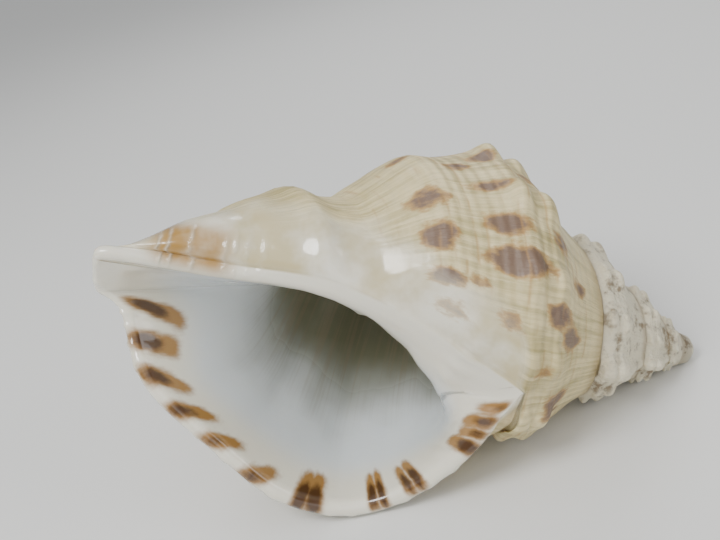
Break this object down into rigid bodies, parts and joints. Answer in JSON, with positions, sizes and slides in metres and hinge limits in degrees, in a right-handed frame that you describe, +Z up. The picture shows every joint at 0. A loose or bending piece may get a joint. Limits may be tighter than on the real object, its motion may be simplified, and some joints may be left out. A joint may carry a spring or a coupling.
{
  "type": "sea snail shell",
  "caption": "Large knobbed sea snail shell with a wide mouth, flared thick lip, open canal and pointed spire, lying mouth forward.",
  "frame": {"origin": "centre of the outline seen from above, on the plane the shell rests on", "axes": "+X from the canal's open end to the tip of the spire, +Z up as the shell lies, and the mouth opens toward -Y"},
  "size_m": [0.183, 0.102, 0.1008],
  "materials": {
    "shell": "cream with brown marks, glossy at the mouth, satin outside, rough on the spire"
  },
  "bodies": {
    "root": {"shell": "shell"}
  },
  "joints": []
}
